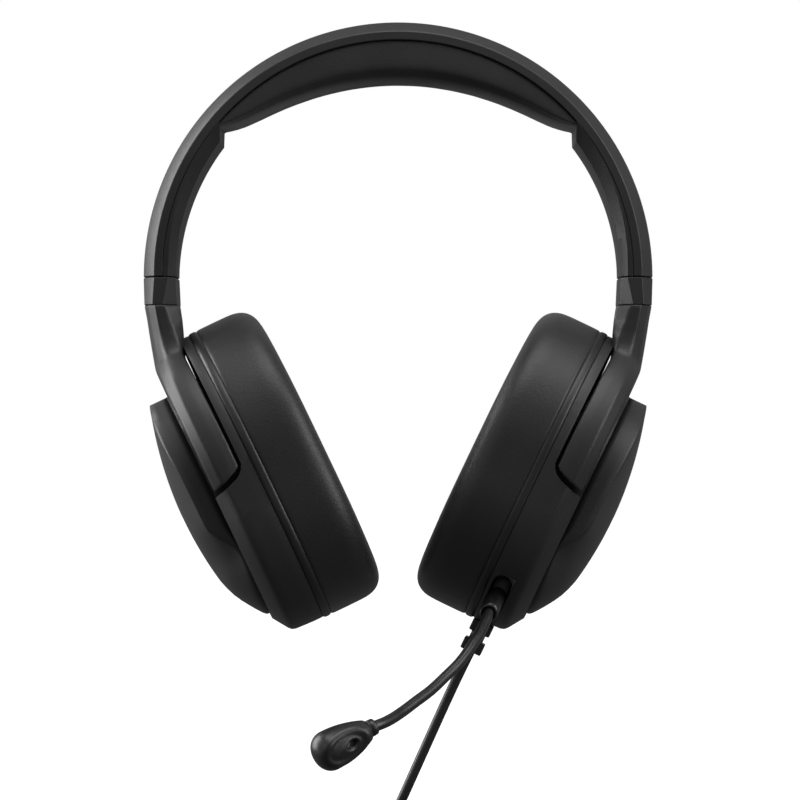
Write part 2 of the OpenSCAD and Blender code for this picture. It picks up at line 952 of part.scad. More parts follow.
module plug_body() {
    color(rubber)
        translate(plug_top - [0, 0, plug_body_len]) {
            cylinder(d = plug_body_d, h = plug_straight);
            translate([0, 0, plug_straight])
                cylinder(d1 = plug_body_d, d2 = plug_neck_d, h = plug_body_len - plug_straight);
        }
}

module plug_pin() {
    color(steel)
        translate(plug_top - [0, 0, plug_body_len + plug_pin_len]) {
            cylinder(d = plug_pin_d, h = plug_pin_len);
            translate([0, 0, -plug_tip_len]) cylinder(d1 = 1.6, d2 = plug_pin_d - 0.3, h = plug_tip_len);
        }
}

headband_shell();
spring_band();
headband_pad_base();
headband_cushion();
slider_housing();  // left_slider_housing
right() slider_housing();  // right_slider_housing
end_collar();  // left_end_collar
right() end_collar();  // right_end_collar
detent_spring();  // left_detent_spring
right() detent_spring();  // right_detent_spring
headband_screws();
crossover_wire();
slider_block();  // left_slider_block
right() slider_block();  // right_slider_block
slider_rail();  // left_slider_rail
right() slider_rail();  // right_slider_rail
swivel_pin();  // left_swivel_pin
right() swivel_pin();  // right_swivel_pin
yoke();  // left_yoke
right() yoke();  // right_yoke
tilt_pins();  // left_tilt_pins
right() tilt_pins();  // right_tilt_pins
cup_housing(true);  // left_cup_housing
right() cup_housing(false);  // right_cup_housing
outer_cover();  // left_outer_cover
right() outer_cover();  // right_outer_cover
baffle();  // left_baffle
right() baffle();  // right_baffle
cushion_ring();  // left_cushion_ring
right() cushion_ring();  // right_cushion_ring
ear_cushion();  // left_ear_cushion
right() ear_cushion();  // right_ear_cushion
driver_frame();  // left_driver_frame
right() driver_frame();  // right_driver_frame
driver_magnet();  // left_driver_magnet
right() driver_magnet();  // right_driver_magnet
diaphragm();  // left_diaphragm
right() diaphragm();  // right_diaphragm
driver_grille();  // left_driver_grille
right() driver_grille();  // right_driver_grille
cup_screws();  // left_cup_screws
right() cup_screws();  // right_cup_screws
control_board();
volume_wheel();
mic_pivot_pin();
mic_hub();
mic_boom();
mic_housing();
mic_capsule();
mic_grille();
strain_relief();
cord();
cord_coil();
cord_tie();
cord_tail();
plug_body();
plug_pin();
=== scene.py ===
"""Gaming headset: what it looks like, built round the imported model.

Pieces are laid out in millimetres, in the world's frame or the left cup's, and scaled to metres.
"""

import json
import math

import bmesh
import bpy
import numpy as np
from mathutils import Matrix, Vector, noise


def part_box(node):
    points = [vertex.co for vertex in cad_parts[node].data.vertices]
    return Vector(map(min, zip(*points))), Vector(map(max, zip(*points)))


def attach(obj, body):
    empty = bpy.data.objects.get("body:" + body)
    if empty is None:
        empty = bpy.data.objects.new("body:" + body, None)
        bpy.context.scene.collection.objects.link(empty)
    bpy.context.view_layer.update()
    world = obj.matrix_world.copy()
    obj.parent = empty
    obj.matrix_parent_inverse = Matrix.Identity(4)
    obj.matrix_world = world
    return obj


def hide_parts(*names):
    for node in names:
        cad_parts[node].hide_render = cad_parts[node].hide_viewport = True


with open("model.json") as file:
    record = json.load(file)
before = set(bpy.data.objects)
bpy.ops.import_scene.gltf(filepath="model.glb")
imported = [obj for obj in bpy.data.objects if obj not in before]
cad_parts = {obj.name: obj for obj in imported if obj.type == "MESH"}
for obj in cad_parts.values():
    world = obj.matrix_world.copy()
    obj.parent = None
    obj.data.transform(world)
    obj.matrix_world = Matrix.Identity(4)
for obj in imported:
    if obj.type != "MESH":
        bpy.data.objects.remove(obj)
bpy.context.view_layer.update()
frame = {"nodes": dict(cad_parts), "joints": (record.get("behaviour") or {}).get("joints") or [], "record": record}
NODES = frame["nodes"]
JOINTS = {joint["name"]: joint for joint in frame["joints"]}
MM = 0.001
SIDES = ("left", "right")
scene = bpy.context.scene

# Camera ---------------------------------------------------------------------------------------

CAMERA_DISTANCE = 1.2
CAMERA_HEIGHT = -0.1006
VIEW_WIDTH = 0.256
SENSOR = 36.0


def make_camera():
    """A level camera straight in front, far enough away to flatten the view."""
    data = bpy.data.cameras.new("camera")
    data.sensor_width = SENSOR
    data.lens = SENSOR * CAMERA_DISTANCE / VIEW_WIDTH
    camera = bpy.data.objects.new("camera", data)
    camera.location = (0.0006, -CAMERA_DISTANCE, CAMERA_HEIGHT)
    camera.rotation_euler = (math.radians(90), 0, 0)
    scene.collection.objects.link(camera)
    scene.camera = camera


# Frames of the cups ---------------------------------------------------------------------------

TILT_AT_MM = Vector((0, 8, -0.6))


def cup_frame():
    """Millimetres in the left cup's frame to metres: x to the front, y up the cup, z towards the head."""
    inwards = Vector(JOINTS["mic_swing"]["axis"]).normalized()
    front = Vector(JOINTS["left_cup_tilt"]["axis"]).normalized()
    up = inwards.cross(front)
    turn = Matrix((front, up, inwards)).transposed()
    origin = Vector(JOINTS["left_cup_tilt"]["pos_m"]) - turn @ TILT_AT_MM * MM
    return Matrix.Translation(origin) @ turn.to_4x4() @ Matrix.Scale(MM, 4)


CUP = cup_frame()
WORLD_MM = Matrix.Scale(MM, 4)
MIRROR = Matrix.Scale(-1, 4, (1, 0, 0))


def side_frame(side, place):
    """The same frame on the left or, mirrored, on the right."""
    return place if side == "left" else MIRROR @ place


# Materials ------------------------------------------------------------------------------------


class Paint:
    """A node material under construction."""

    def __init__(self, name):
        self.material = bpy.data.materials.new(name)
        self.material.use_nodes = True
        self.tree = self.material.node_tree
        self.shader = self.tree.nodes["Principled BSDF"]
        self.place = self.tree.nodes.new("ShaderNodeTexCoord").outputs["Object"]

    def texture(self, kind, scale, **inputs):
        node = self.tree.nodes.new(kind)
        self.tree.links.new(self.place, node.inputs["Vector"])
        node.inputs["Scale"].default_value = scale
        for name, value in inputs.items():
            node.inputs[name.capitalize()].default_value = value
        return node

    def ramp(self, source, low, high, start=0.0, end=1.0):
        """Maps a value to a colour between low and high."""
        node = self.tree.nodes.new("ShaderNodeValToRGB")
        for element, place, colour in zip(node.color_ramp.elements, (start, end), (low, high)):
            element.position = place
            element.color = (*colour, 1) if len(colour) == 3 else colour
        self.tree.links.new(source, node.inputs["Fac"])
        return node.outputs["Color"]

    def spread(self, source, low, high):
        """Maps a value between 0 and 1 to one between low and high."""
        node = self.tree.nodes.new("ShaderNodeMapRange")
        node.inputs["To Min"].default_value = low
        node.inputs["To Max"].default_value = high
        self.tree.links.new(source, node.inputs["Value"])
        return node.outputs["Result"]

    def bump(self, source, depth, below=None):
        """A bump of that depth in metres, on top of the bump below."""
        node = self.tree.nodes.new("ShaderNodeBump")
        node.inputs["Distance"].default_value = depth
        self.tree.links.new(source, node.inputs["Height"])
        if below:
            self.tree.links.new(below, node.inputs["Normal"])
        return node.outputs["Normal"]

    def link(self, source, name):
        self.tree.links.new(source, self.shader.inputs[name])

    def set(self, **values):
        for name, value in values.items():
            self.shader.inputs[name.replace("_", " ")].default_value = value


def grey(value, blue=1.06):
    return (value, value, value * blue)


def moulded_plastic(name, shade, rough=0.46, grain=0.00003):
    """Matt moulded plastic with a fine spark-eroded grain and slightly uneven sheen."""
    paint = Paint(name)
    clouds = paint.texture("ShaderNodeTexNoise", 60, Detail=4)
    grain_noise = paint.texture("ShaderNodeTexNoise", 3200, Detail=3, Roughness=0.6)
    colour = paint.ramp(clouds.outputs["Fac"], grey(shade * 0.9), grey(shade * 1.12), 0.35, 0.65)
    paint.link(colour, "Base Color")
    paint.link(paint.spread(grain_noise.outputs["Fac"], rough - 0.05, rough + 0.06), "Roughness")
    paint.link(paint.bump(grain_noise.outputs["Fac"], grain), "Normal")
    paint.set(Specular_IOR_Level=0.5)
    return paint.material


def leatherette(name, shade, rough, shine):
    """Soft coated cloth with a fine pebbled grain."""
    paint = Paint(name)
    pebbles = paint.texture("ShaderNodeTexVoronoi", 1500, Randomness=1.0)
    pebbles.feature = "SMOOTH_F1"
    creases = paint.texture("ShaderNodeTexNoise", 240, Detail=6, Distortion=1.2)
    clouds = paint.texture("ShaderNodeTexNoise", 45, Detail=3)
    colour = paint.ramp(clouds.outputs["Fac"], grey(shade * 0.88), grey(shade * 1.15), 0.3, 0.7)
    paint.link(colour, "Base Color")
    paint.link(paint.spread(creases.outputs["Fac"], rough - 0.06, rough + 0.08), "Roughness")
    soft = paint.bump(creases.outputs["Fac"], 0.00003)
    paint.link(paint.bump(pebbles.outputs["Distance"], 0.00004, soft), "Normal")
    paint.set(Specular_IOR_Level=shine, Sheen_Weight=0.15, Sheen_Roughness=0.4)
    return paint.material


def rubber(name, shade, rough=0.34):
    """Smooth soft rubber with faint dust and flow marks."""
    paint = Paint(name)
    marks = paint.texture("ShaderNodeTexNoise", 320, Detail=5)
    fine = paint.texture("ShaderNodeTexNoise", 2600, Detail=2)
    colour = paint.ramp(marks.outputs["Fac"], grey(shade * 0.85), grey(shade * 1.2), 0.35, 0.7)
    paint.link(colour, "Base Color")
    paint.link(paint.spread(marks.outputs["Fac"], rough - 0.05, rough + 0.08), "Roughness")
    paint.link(paint.bump(fine.outputs["Fac"], 0.00002), "Normal")
    paint.set(Specular_IOR_Level=0.5)
    return paint.material


def metal(name, colour, rough=0.3, stretch=1800):
    """Drawn or stamped metal with fine scratches."""
    paint = Paint(name)
    scratches = paint.texture("ShaderNodeTexNoise", stretch, Detail=4, Roughness=0.7)
    clouds = paint.texture("ShaderNodeTexNoise", 150, Detail=3)
    darker = tuple(channel * 0.8 for channel in colour)
    paint.link(paint.ramp(clouds.outputs["Fac"], darker, colour, 0.3, 0.7), "Base Color")
    paint.link(paint.spread(scratches.outputs["Fac"], rough - 0.08, rough + 0.12), "Roughness")
    paint.link(paint.bump(scratches.outputs["Fac"], 0.00001), "Normal")
    paint.set(Metallic=1.0)
    return paint.material


def woven_mesh(name, shade):
    """Thin acoustic cloth: a plain weave of fine threads."""
    paint = Paint(name)
    weave = paint.texture("ShaderNodeTexVoronoi", 1400, Randomness=0.15)
    slubs = paint.texture("ShaderNodeTexNoise", 500, Detail=3)
    colour = paint.ramp(weave.outputs["Distance"], grey(shade * 1.7), grey(shade * 0.35), 0.1, 0.6)
    paint.link(colour, "Base Color")
    paint.link(paint.spread(slubs.outputs["Fac"], 0.75, 0.95), "Roughness")
    paint.link(paint.bump(weave.outputs["Distance"], 0.00015), "Normal")
    paint.set(Sheen_Weight=0.3, Sheen_Roughness=0.5)
    return paint.material


def circuit_board(name):
    paint = Paint(name)
    tracks = paint.texture("ShaderNodeTexVoronoi", 500, Randomness=0.2)
    tracks.distance = "CHEBYCHEV"
    colour = paint.ramp(tracks.outputs["Distance"], (0.01, 0.09, 0.03), (0.02, 0.16, 0.06), 0.2, 0.5)
    paint.link(colour, "Base Color")
    paint.link(paint.spread(tracks.outputs["Distance"], 0.25, 0.5), "Roughness")
    return paint.material


def film(name):
    paint = Paint(name)
    rings = paint.texture("ShaderNodeTexNoise", 400, Detail=3)
    paint.link(paint.ramp(rings.outputs["Fac"], (0.3, 0.28, 0.22), (0.42, 0.4, 0.33)), "Base Color")
    paint.link(paint.spread(rings.outputs["Fac"], 0.2, 0.35), "Roughness")
    return paint.material


MATERIALS = {
    "shell_plastic": moulded_plastic("shell_plastic", 0.022),
    "arm_plastic": moulded_plastic("arm_plastic", 0.018),
    "liner_plastic": moulded_plastic("liner_plastic", 0.017, 0.5),
    "collar_plastic": moulded_plastic("collar_plastic", 0.017, 0.5),
    "cup_plastic": moulded_plastic("cup_plastic", 0.02, 0.48),
    "cover_plastic": moulded_plastic("cover_plastic", 0.022),
    "baffle_plastic": moulded_plastic("baffle_plastic", 0.02, 0.6),
    "soft_plastic": moulded_plastic("soft_plastic", 0.014, 0.42),
    "driver_plastic": moulded_plastic("driver_plastic", 0.05, 0.5),
    "headband_leatherette": leatherette("headband_leatherette", 0.034, 0.6, 0.2),
    "cushion_leatherette": leatherette("cushion_leatherette", 0.014, 0.46, 0.5),
    "spring_steel": metal("spring_steel", (0.5, 0.5, 0.52)),
    "rail_steel": metal("rail_steel", (0.55, 0.56, 0.58), 0.32),
    "pin_steel": metal("pin_steel", (0.5, 0.5, 0.52), 0.25),
    "screw_steel": metal("screw_steel", (0.09, 0.09, 0.1), 0.35),
    "magnet_steel": metal("magnet_steel", (0.5, 0.51, 0.53), 0.35),
    "diaphragm_film": film("diaphragm_film"),
    "grille_fabric": woven_mesh("grille_fabric", 0.035),
    "board": circuit_board("board"),
    "wheel_rubber": rubber("wheel_rubber", 0.014, 0.5),
    "boom_rubber": rubber("boom_rubber", 0.012, 0.28),
    "mic_plastic": rubber("mic_plastic", 0.012, 0.36),
    "capsule_metal": metal("capsule_metal", (0.5, 0.5, 0.52)),
    "mic_foam": woven_mesh("mic_foam", 0.008),
    "relief_rubber": rubber("relief_rubber", 0.012, 0.38),
    "wire_rubber": rubber("wire_rubber", 0.012, 0.4),
    "cord_rubber": rubber("cord_rubber", 0.011, 0.4),
    "tie_plastic": rubber("tie_plastic", 0.012, 0.45),
    "plug_rubber": rubber("plug_rubber", 0.012, 0.38),
    "plug_metal": metal("plug_metal", (0.75, 0.62, 0.36), 0.22),
}


def finish_cad_nodes():
    """Gives each carried-over node its record slot's material."""
    for row in frame["record"]["subparts"]:
        if row["node"] in NODES:
            mesh = NODES[row["node"]].data
            mesh.materials.clear()
            mesh.materials.append(MATERIALS[row["material_slot"]])


# Studio ---------------------------------------------------------------------------------------

# How bright the white surround is for the object, straight below and straight above
SURROUND_LOW = 0.08
SURROUND_HIGH = 0.3
# Name, place, size and power of each soft light; the strongest rakes the band's left bevel
SOFTBOXES = [
    ("key_left", (-1.05, 0.26, 0.25), (0.7, 1.2), 18),
    ("fill_right", (1.0, -0.4, 0.3), (0.6, 1.0), 7.5),
    ("front_left", (-0.85, -0.9, 0.3), (0.6, 0.6), 0.8),
    ("top", (0.1, -0.35, 1.1), (1.0, 0.8), 9),
]

def softbox(name, place, target, size, power):
    data = bpy.data.lights.new(name, "AREA")
    data.shape = "RECTANGLE"
    data.size, data.size_y = size
    data.energy = power
    light = bpy.data.objects.new(name, data)
    light.location = place
    light.rotation_euler = (Vector(target) - Vector(place)).to_track_quat("-Z", "Y").to_euler()
    scene.collection.objects.link(light)


def make_studio():
    """A pale floor under the hanging headset, a white surround and soft light from above and the sides."""
    bpy.ops.mesh.primitive_circle_add(vertices=64, radius=9, fill_type="NGON", location=(0, 0, -0.42))
    floor = bpy.context.object
    floor.name = "floor"
    pale = Paint("pale_floor")
    patches = pale.texture("ShaderNodeTexNoise", 2, Detail=2)
    pale.link(pale.ramp(patches.outputs["Fac"], grey(0.84, 1), grey(0.9, 1)), "Base Color")
    pale.set(Roughness=0.8, Emission_Color=(1, 1, 1, 1), Emission_Strength=0.95)
    floor.data.materials.append(pale.material)
    floor.visible_glossy = False
    floor.visible_diffuse = False

    world = bpy.data.worlds.new("surround")
    world.use_nodes = True
    tree = world.node_tree
    light = tree.nodes["Background"]
    seen = tree.nodes.new("ShaderNodeBackground")
    seen.inputs["Color"].default_value = (1, 1, 1, 1)
    sky = tree.nodes.new("ShaderNodeTexCoord")
    height = tree.nodes.new("ShaderNodeSeparateXYZ")
    shade = tree.nodes.new("ShaderNodeMapRange")
    shade.inputs["From Min"].default_value = -1
    shade.inputs["To Min"].default_value = SURROUND_LOW
    shade.inputs["To Max"].default_value = SURROUND_HIGH
    path = tree.nodes.new("ShaderNodeLightPath")
    mix = tree.nodes.new("ShaderNodeMixShader")
    tree.links.new(sky.outputs["Generated"], height.inputs[0])
    tree.links.new(height.outputs["Z"], shade.inputs["Value"])
    tree.links.new(shade.outputs["Result"], light.inputs["Strength"])
    light.inputs["Color"].default_value = (1, 1, 1, 1)
    tree.links.new(path.outputs["Is Camera Ray"], mix.inputs["Fac"])
    tree.links.new(light.outputs[0], mix.inputs[1])
    tree.links.new(seen.outputs[0], mix.inputs[2])
    tree.links.new(mix.outputs[0], tree.nodes["World Output"].inputs["Surface"])
    scene.world = world
    scene.view_settings.view_transform = "Standard"
    for name, place, size, power in SOFTBOXES:
        softbox(name, place, (0, 0, -0.1), size, power)


# Mesh building --------------------------------------------------------------------------------


def loft(rings, closed=False):
    """Points and faces of a skin over equal rings, capped at both ends unless it closes on itself."""
    sides = len(rings[0])
    points = [point for ring in rings for point in ring]
    pairs = [(k, k + 1) for k in range(len(rings) - 1)]
    if closed:
        pairs.append((len(rings) - 1, 0))
    faces = []
    for a, b in pairs:
        for i in range(sides):
            j = (i + 1) % sides
            faces.append((a * sides + i, a * sides + j, b * sides + j, b * sides + i))
    if not closed:
        faces.append(tuple(range(sides)))
        faces.append(tuple(range(len(points) - sides, len(points))))
    return points, faces


def new_mesh(name, place, points, faces):
    """A mesh of points in the given frame, with its faces turned outwards."""
    mesh = bpy.data.meshes.new(name)
    mesh.from_pydata([place @ Vector(point) for point in points], [], faces)
    shape = bmesh.new()
    shape.from_mesh(mesh)
    bmesh.ops.recalc_face_normals(shape, faces=shape.faces)
    shape.to_mesh(mesh)
    shape.free()
    mesh.shade_smooth()
    return mesh


def add_piece(name, mesh, slot, body, *replaced):
    """A finished mesh as a piece on its body, in its slot's material."""
    mesh.materials.clear()
    mesh.materials.append(MATERIALS[slot])
    piece = bpy.data.objects.new(name, mesh)
    scene.collection.objects.link(piece)
    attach(piece, body)
    if replaced:
        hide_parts(*replaced)
    return piece


def round_edges(piece, width_mm, segments=3, angle=28):
    """Rounds the sharp edges of a piece."""
    bevel = piece.modifiers.new("rounded_edges", "BEVEL")
    bevel.width = width_mm * MM
    bevel.segments = segments
    bevel.limit_method = "ANGLE"
    bevel.angle_limit = math.radians(angle)
    bevel.harden_normals = True


def spread(low, high, count):
    """count values from low to high, both included."""
    return [low + (high - low) * k / (count - 1) for k in range(count)]


def smoothstep(value, low, high):
    share = min(max((value - low) / (high - low), 0), 1)
    return share * share * (3 - 2 * share)


def rounded_box_point(turn, half_wide, half_high, power):
    """A point on a rounded rectangle, by angle; a higher power makes squarer corners."""
    c, s = math.cos(turn), math.sin(turn)
    return (
        math.copysign(half_wide * abs(c) ** (2 / power), c),
        math.copysign(half_high * abs(s) ** (2 / power), s),
    )


# Lead -----------------------------------------------------------------------------------------

CORD_D = 3.2
COIL_AT = Vector((8, 3.6, -262))
COIL_MID_D = 37
COIL_STEPS = 24
# The free stretches, the same points as the solid model's, in metres
CORD_ROUTE = [
    (0.0205, 0.0036, -0.1865), (0.016, 0.0036, -0.196), (0.011, 0.0036, -0.207), (0.0065, 0.0036, -0.217),
    (0.002, 0.0036, -0.227), (-0.002, 0.0036, -0.236), (-0.0045, 0.0036, -0.242),
]
TAIL_ROUTE = [
    (-0.013, 0.0036, -0.275), (-0.0105, 0.0036, -0.284), (-0.005, 0.0036, -0.2925), (-0.001, 0.0036, -0.3),
    (0.0, 0.0036, -0.308),
]
RELIEF_END_MM = Vector((0, -60.32, 4))
COIL_START = math.radians(157)
COIL_END = math.radians(180)
# Where each turn lies in the bundle, in diameters: outwards from the coil's middle, and to the back
TURN_PLACES = (
    [(0.5 - i, 1.443) for i in range(2)]
    + [(i - 1, 0.577) for i in range(3)]
    + [(1.5 - i, -0.289) for i in range(4)]
    + [(i - 1, -1.155) for i in range(3)]
)


def coil_points():
    """The tied coil: one turn in each place of the bundle, easing sideways into the next."""
    points = []
    turns = len(TURN_PLACES)
    total = COIL_END - COIL_START + 2 * math.pi * turns
    count = round(total / (2 * math.pi) * COIL_STEPS)
    for k in range(count + 1):
        turned = total * k / count
        place = turned / (2 * math.pi)
        turn = min(int(place), turns - 1)
        ease = min(max((place - turn - 0.7) / 0.3, 0), 1)
        ease = ease * ease * (3 - 2 * ease)
        here = Vector(TURN_PLACES[turn])
        there = Vector(TURN_PLACES[min(turn + 1, turns - 1)])
        out, back = (here.lerp(there, ease) * (CORD_D * 1.02))[:]
        angle = COIL_START + turned
        radius = COIL_MID_D / 2 + out
        spot = COIL_AT + Vector((radius * math.cos(angle), back, radius * math.sin(angle)))
        points.append(spot * MM)
    return points


def smooth_curve(name, points, radius, material):
    """A round tube along one smooth open curve."""
    data = bpy.data.curves.new(name, "CURVE")
    data.dimensions = "3D"
    data.bevel_depth = radius
    data.bevel_resolution = 4
    data.use_fill_caps = True
    data.resolution_u = 3
    spline = data.splines.new("BEZIER")
    spline.bezier_points.add(len(points) - 1)
    for point, place in zip(spline.bezier_points, points):
        point.co = place
        point.handle_left_type = point.handle_right_type = "AUTO"
    data.materials.append(material)
    curve = bpy.data.objects.new(name, data)
    scene.collection.objects.link(curve)
    return curve


def make_cord():
    """The whole lead, from the strain relief through its tied coil to the plug."""
    exit_at = CUP @ RELIEF_END_MM
    inside = CUP @ (RELIEF_END_MM + Vector((0, 3, 0)))
    straight = [Vector(p) for p in CORD_ROUTE]
    tail = [Vector(p) for p in TAIL_ROUTE]
    coil = coil_points()
    lead_in = coil[0].y
    for point in straight[-2:]:
        point.y += (lead_in - point.y) * 0.6
    tail[0].y += (coil[-1].y - tail[0].y) * 0.6
    tail[1].y += (coil[-1].y - tail[1].y) * 0.2
    points = [inside, exit_at, *straight[:-1], *coil, *tail]
    cord = smooth_curve("lead", points, CORD_D / 2 * MM, MATERIALS["cord_rubber"])
    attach(cord, "left_cup")
    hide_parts("cord", "cord_coil", "cord_tail")
    length = sum((a - b).length for a, b in zip(points, points[1:]))
    return cord


# Headband -------------------------------------------------------------------------------------

SHELL_LOW, SHELL_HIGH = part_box("headband_shell")
BAND_R = SHELL_HIGH.x / MM
BAND_Z = SHELL_LOW.z / MM
BAND_HALF_TOP = SHELL_HIGH.y / MM
BAND_HALF_END = 15.5
BAND_CROWN = 1.1
RIM_OUTER_R = BAND_R - 4.2
RIM_INNER_R = 74.4
SHELL_WALL = 2.0


def band_half(angle):
    """Half the band's width at an angle from its end, easing from the end's width to the top's."""
    rise = min(BAND_R * math.sin(angle) / -BAND_Z, 1)
    return BAND_HALF_END + (BAND_HALF_TOP - BAND_HALF_END) * rise * (2 - rise)


def band_point(radius, angle, y):
    return (radius * math.cos(angle), y, BAND_Z + radius * math.sin(angle))


def crowned_face(half, radius, count=9):
    """The band's outer face across its width, highest in the middle."""
    return [(radius - BAND_CROWN * (y / half) ** 2, y) for y in spread(-half, half, count)]


def shell_section(half):
    face = crowned_face(half - 5, BAND_R)
    inside = [
        (RIM_INNER_R, half - 1.6), (RIM_INNER_R + 3, half - 2.6), (BAND_R - SHELL_WALL - 1, half - 7),
        (BAND_R - SHELL_WALL - 1, 7 - half), (RIM_INNER_R + 3, 2.6 - half), (RIM_INNER_R, 1.6 - half),
    ]
    front = [(RIM_OUTER_R, half), (RIM_INNER_R, half)]
    back = [(RIM_INNER_R, -half), (RIM_OUTER_R, -half)]
    return [*face, *front, *inside, *back]


def make_headband_shell():
    rings = []
    for angle in spread(0, math.pi, 145):
        half = band_half(angle)
        rings.append([band_point(r, angle, y) for r, y in shell_section(half)])
    mesh = new_mesh("headband_shell_skin", WORLD_MM, *loft(rings))
    shell = add_piece("headband_shell_skin", mesh, "shell_plastic", "headband", "headband_shell")
    round_edges(shell, 0.35)


LINER_TOP_X = 56.3
LINER_R = 70.4
COLLAR_TOP = 3.8
SEAM_MM = 0.12


def liner_section(half, flare):
    """The liner's section: flush with the rim, with an inner bevel that widens towards its top."""
    bevel = 2.2 + 2.0 * flare
    lip = RIM_INNER_R - 0.08
    return [
        (lip, half - 0.05), (LINER_R + bevel, half - 0.05), (LINER_R + 0.2, half - 4.5), (LINER_R, 0),
        (LINER_R + 0.2, 4.5 - half), (LINER_R + bevel, 0.05 - half), (lip, 0.05 - half),
    ]


def make_liner(side):
    """The liner inside each end of the band, cut off upright at its top."""
    start = math.asin((COLLAR_TOP + SEAM_MM) / BAND_R)
    rings = []
    for share in spread(0, 1, 40):
        ring = []
        base = start + (math.acos(LINER_TOP_X / BAND_R) - start) * share
        for radius, y in liner_section(band_half(base), share):
            end = math.acos(LINER_TOP_X / radius)
            ring.append(band_point(radius, start + (end - start) * share, y))
        rings.append(ring)
    name = f"{side}_liner"
    mesh = new_mesh(name, side_frame(side, WORLD_MM), *loft(rings))
    liner = add_piece(name, mesh, "liner_plastic", "headband", f"{side}_slider_housing")
    round_edges(liner, 0.45)


def make_collar(side):
    """The cap on the band's end, parted from the liner by a fine seam."""
    rings = []
    for height in (0, COLLAR_TOP):
        angle = math.asin(height / BAND_R)
        half = band_half(angle)
        rings.append([(r * math.cos(angle), y, BAND_Z + height) for r, y in liner_section(half, 0)])
    name = f"{side}_collar"
    mesh = new_mesh(name, side_frame(side, WORLD_MM), *loft(rings))
    collar = add_piece(name, mesh, "collar_plastic", "headband", f"{side}_end_collar")
    round_edges(collar, 0.2, 2)


# Sliders and yokes ----------------------------------------------------------------------------

BLOCK_LOW, BLOCK_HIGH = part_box("left_slider_block")
STEM_TOP = JOINTS["left_swivel"]["pos_m"][2] / MM
ARM_X = JOINTS["left_swivel"]["pos_m"][0] / MM
ARM_OUTER_EDGE_Y = 10.2
ARM_INNER_EDGE_Y = 11.5
# Down the arm below the swivel: height, outer side, outer bevel's edge, inner bevel's edge, inner side
# and half the width, which flares out into the horseshoe
STEM_LEVELS = [
    (STEM_TOP + 0.2, 81.15, 78.0, 74.8, 69.7, 15.65), (-75.0, 80.3, 77.2, 73.4, 69.0, 15.5),
    (-79.0, 79.7, 76.3, 71.8, 68.6, 15.6), (-82.5, 79.15, 75.5, 70.3, 68.4, 16.1),
    (-85.5, 78.65, 74.8, 69.2, 68.2, 17.3), (-88.0, 78.2, 74.2, 68.6, 67.9, 19.4),
    (-90.0, 77.85, 73.5, 68.0, 67.5, 22.2), (-91.8, 77.3, 72.7, 67.5, 67.0, 25.6),
]


def arm_ring(height, outer, outer_edge, inner_edge, inner, half=BAND_HALF_END):
    """The arm's section: a crowned outer face, two bevels on each side and a flat inner face."""
    face = []
    for y in spread(-ARM_OUTER_EDGE_Y, ARM_OUTER_EDGE_Y, 7):
        face.append((outer - 0.9 * (y / ARM_OUTER_EDGE_Y) ** 2, y, height))
    return [
        *face, (outer_edge, half, height), (inner_edge, half, height),
        (inner + 0.2, ARM_INNER_EDGE_Y, height), (inner, 0, height), (inner + 0.2, -ARM_INNER_EDGE_Y, height),
        (inner_edge, -half, height), (outer_edge, -half, height),
    ]


def make_slider_block(side):
    low, high = BLOCK_LOW.z / MM, BLOCK_HIGH.z / MM
    rings = [
        arm_ring(high, BAND_R, RIM_OUTER_R, LINER_R + 2.2, LINER_R),
        arm_ring(low, 81.05, RIM_OUTER_R + 0.6, LINER_R + 4.0, LINER_R - 0.4),
    ]
    name = f"{side}_block"
    mesh = new_mesh(name, side_frame(side, WORLD_MM), *loft(rings))
    block = add_piece(name, mesh, "arm_plastic", f"{side}_slider", f"{side}_slider_block")
    round_edges(block, 0.22)


RIM_R = 42.0
SPINE = 7.9
YOKE_OUTER_R = 42.6
YOKE_INNER_R = 31.1
YOKE_BACK_Z = -6.4
YOKE_FRONT_Z = 3.7
YOKE_BEVEL = 3.2
TIP_SLOPE = (5.6 - 1.9) / (3.7 + 7)
TIP_ROUND = 3.5
TIP_CORNER_Z = 1.2


def tip_height(z):
    """How high the leg's tip is at that depth: a slanted line with a rounded corner towards the head."""
    rounding = 0
    if z > TIP_CORNER_Z:
        rounding = TIP_ROUND - math.sqrt(TIP_ROUND**2 - (z - TIP_CORNER_Z) ** 2)
    return 1.9 + TIP_SLOPE * (z + 7) + rounding


def oval_point(radius, share, z):
    """A point on the oval round the cup's top half, from the front leg's start to the back leg's."""
    angle = math.pi * share
    return Vector((radius * math.cos(angle), SPINE + radius * math.sin(angle), z))


def yoke_section(share):
    """The horseshoe's section: its outer bevel widens where the stem joins."""
    bevel = YOKE_BEVEL + 2.4 * math.exp(-(((share - 0.5) / 0.13) ** 2))
    depths = spread(YOKE_BACK_Z + bevel, YOKE_FRONT_Z, 14)
    outside = [(YOKE_OUTER_R - 0.5 * smoothstep(z, 0, YOKE_FRONT_Z), z) for z in depths]
    inside = [(YOKE_INNER_R, z) for z in reversed(spread(YOKE_BACK_Z, YOKE_FRONT_Z, 12))]
    return [(YOKE_OUTER_R - bevel, YOKE_BACK_Z), *outside, *inside]


def horseshoe():
    rings = [[(r, tip_height(z), z) for r, z in yoke_section(0)]]
    for share in spread(0, 1, 61):
        rings.append([oval_point(r, share, z) for r, z in yoke_section(share)])
    rings.append([(-r, tip_height(z), z) for r, z in yoke_section(1)])
    return loft(rings)


